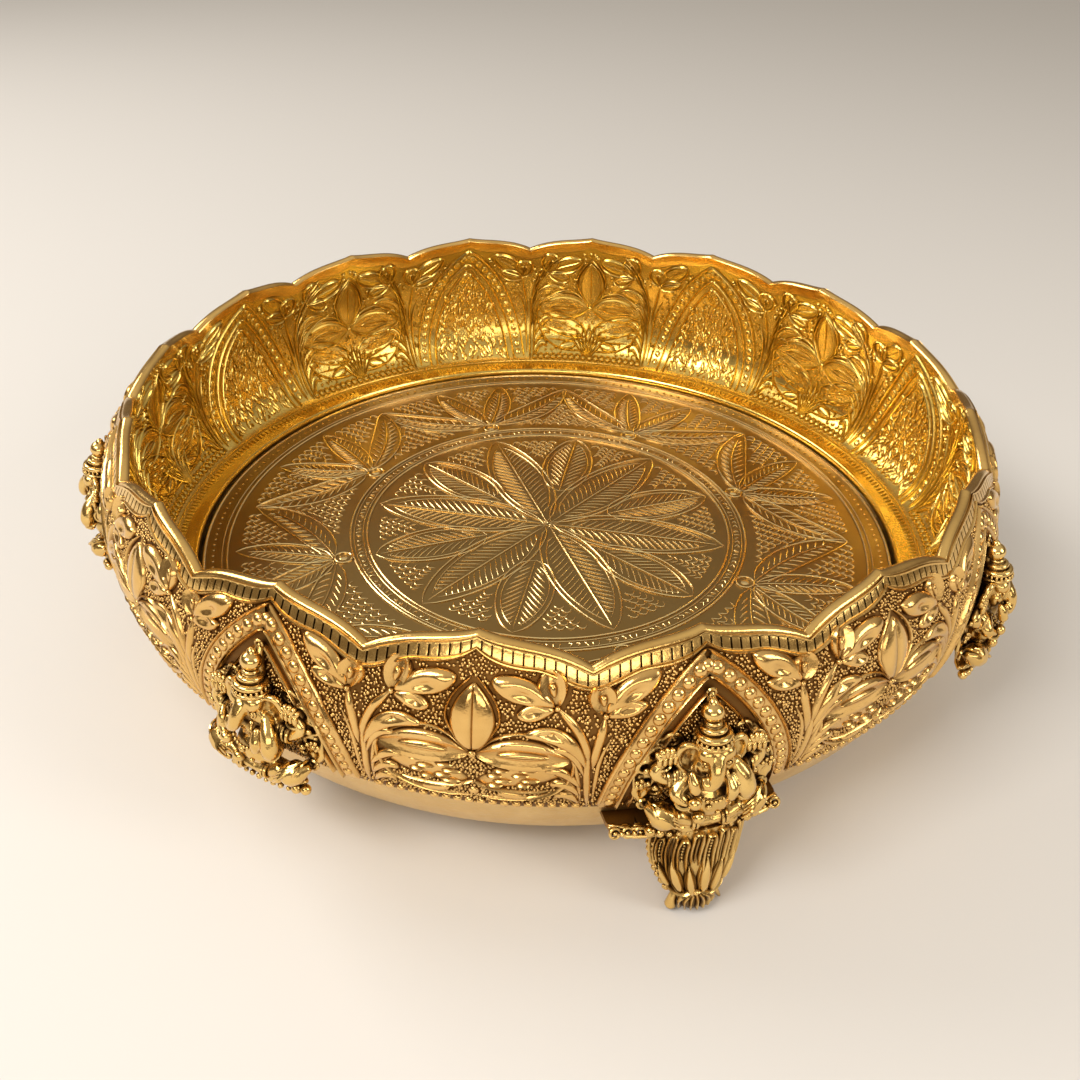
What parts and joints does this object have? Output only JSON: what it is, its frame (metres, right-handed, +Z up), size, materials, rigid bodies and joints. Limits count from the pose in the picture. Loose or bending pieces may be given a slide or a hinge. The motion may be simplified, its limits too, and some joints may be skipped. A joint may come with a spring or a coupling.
{
  "type": "footed urli bowl",
  "caption": "Wide round brass bowl with an embossed wall, a scalloped rim, seated deity figures round the outside and leaf-shaped feet, for floating flowers and lamps.",
  "frame": {"origin": "centre of the bowl on the surface it stands on", "axes": "+Z up along the bowl's axis; a footed figure faces -Y"},
  "size_m": [0.3521, 0.3528, 0.0939],
  "materials": {
    "wall_embossed_brass": "embossed and polished, dark patina in the recesses",
    "rim_polished_brass": "polished",
    "floor_engraved_brass": "polished, engraved",
    "pan_satin_brass": "satin, with small casting pits",
    "cast_brass": "cast and buffed, dark patina in the recesses"
  },
  "bodies": {
    "root": {"base_pan": "pan_satin_brass", "floor_plate": "floor_engraved_brass", "wall_band": "wall_embossed_brass", "rim_band": "rim_polished_brass", "elephant_figure_1": "cast_brass", "elephant_figure_2": "cast_brass", "elephant_figure_3": "cast_brass", "elephant_figure_4": "cast_brass", "elephant_figure_5": "cast_brass", "elephant_figure_6": "cast_brass", "elephant_figure_7": "cast_brass", "elephant_figure_8": "cast_brass", "seat_bracket_1": "cast_brass", "seat_bracket_2": "cast_brass", "seat_bracket_3": "cast_brass", "leaf_leg_1": "cast_brass", "leaf_leg_2": "cast_brass", "leaf_leg_3": "cast_brass"}
  },
  "joints": []
}
